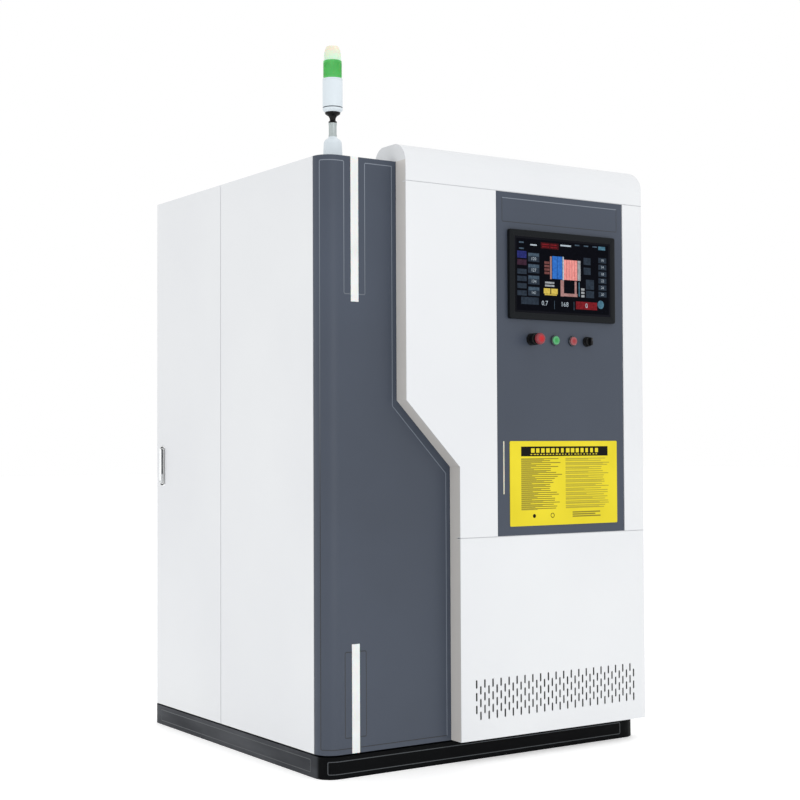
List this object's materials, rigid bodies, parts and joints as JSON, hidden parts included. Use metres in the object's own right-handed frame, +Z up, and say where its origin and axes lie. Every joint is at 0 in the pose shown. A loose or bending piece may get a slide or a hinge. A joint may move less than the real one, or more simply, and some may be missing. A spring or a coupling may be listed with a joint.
{
  "type": "cabinet steam boiler",
  "caption": "Free-standing industrial steam boiler in a white and slate-grey sheet-steel cabinet, with a stepped raised front cover, hood, control panel, side door and signal light.",
  "frame": {"origin": "centre of the plinth's footprint, on the floor", "axes": "+X to the right along the front, +Y from the front to the back, +Z up"},
  "size_m": [1.1765, 1.3255, 2.079],
  "materials": {
    "white_paint": "satin powder coat, warm white",
    "grey_paint": "satin powder coat, slate grey",
    "edge_paint": "satin mid grey edge trim",
    "plinth_paint": "fine textured black powder coat",
    "frame_steel": "grey painted steel tube",
    "hinge_steel": "bright zinc plated",
    "strip_lens": "frosted white light strip lens",
    "line_lens": "cream light line lens",
    "screen_case": "black moulded case",
    "screen_glass": "dark touch screen glass",
    "black_plastic": "black moulded plastic",
    "stop_red": "glossy red plastic",
    "bezel_metal": "satin chromed ring",
    "start_green": "translucent green cap",
    "button_red": "translucent red cap",
    "selector_black": "black moulded knob",
    "notice_yellow": "yellow printed foil with plain bars",
    "handle_chrome": "satin chromed zinc casting",
    "light_plastic": "pale grey moulded plastic",
    "pole_metal": "bright anodised tube",
    "lens_green": "translucent green lens",
    "vessel_jacket": "stucco jacket over insulation",
    "burner_paint": "blue enamel",
    "flue_steel": "stainless tube",
    "pipe_steel": "grey primed steel pipe and flange"
  },
  "bodies": {
    "cabinet": {"back_panel": "white_paint", "burner": "burner_paint", "button_bezels": "bezel_metal", "connection_pipes": "pipe_steel", "control_panel": "grey_paint", "corner_panel": "grey_paint", "cover_edge_trim": "edge_paint", "cover_left": "white_paint", "cover_lower": "white_paint", "cover_rails": "frame_steel", "cover_right": "white_paint", "emergency_stop_collar": "black_plastic", "floor_plate": "frame_steel", "flue_outlet": "flue_steel", "frame_posts": "frame_steel", "front_inner_wall": "grey_paint", "hinge_arms": "frame_steel", "hood": "white_paint", "left_front_panel": "white_paint", "light_line": "line_lens", "light_strips": "strip_lens", "notice_plate": "notice_yellow", "pipe_flanges": "pipe_steel", "plinth": "plinth_paint", "right_front_panel": "white_paint", "right_rear_panel": "white_paint", "roof_panel": "white_paint", "screen_glass": "screen_glass", "screen_housing": "screen_case", "selector_bezel": "black_plastic", "signal_light_base": "light_plastic", "signal_light_body": "light_plastic", "signal_light_cap": "light_plastic", "signal_light_joint": "black_plastic", "signal_light_lens": "lens_green", "signal_light_pole": "pole_metal", "top_frame": "frame_steel", "vessel": "vessel_jacket"},
    "side_door": {"side_door": "white_paint", "door_stiffeners": "hinge_steel", "hinge_leaves": "hinge_steel", "handle_plate": "handle_chrome"},
    "door_handle": {"handle_lever": "handle_chrome"},
    "emergency_stop": {"emergency_stop_head": "stop_red"},
    "start_button": {"start_button": "start_green"},
    "stop_button": {"stop_button": "button_red"},
    "selector": {"selector_knob": "selector_black"}
  },
  "joints": [
    {"name": "side_door_hinge", "type": "hinge", "parent": "cabinet", "child": "side_door", "pos_m": [-0.5725, 0.0755, 0.9], "axis": [0, 0, 1], "range_deg": [0, 105]},
    {"name": "door_handle_pivot", "type": "hinge", "parent": "side_door", "child": "door_handle", "pos_m": [-0.586, 0.4795, 0.812], "axis": [1, 0, 0], "range_deg": [0, 90]},
    {"name": "emergency_stop_push", "type": "slide", "parent": "cabinet", "child": "emergency_stop", "axis": [0, 1, 0], "range_m": [0, 0.005]},
    {"name": "start_button_push", "type": "slide", "parent": "cabinet", "child": "start_button", "axis": [0, 1, 0], "range_m": [0, 0.004], "stiffness_N_per_m": 800},
    {"name": "stop_button_push", "type": "slide", "parent": "cabinet", "child": "stop_button", "axis": [0, 1, 0], "range_m": [0, 0.004], "stiffness_N_per_m": 800},
    {"name": "selector_turn", "type": "hinge", "parent": "cabinet", "child": "selector", "pos_m": [0.3385, -0.617, 1.248], "axis": [0, 1, 0], "range_deg": [-45, 45]}
  ]
}
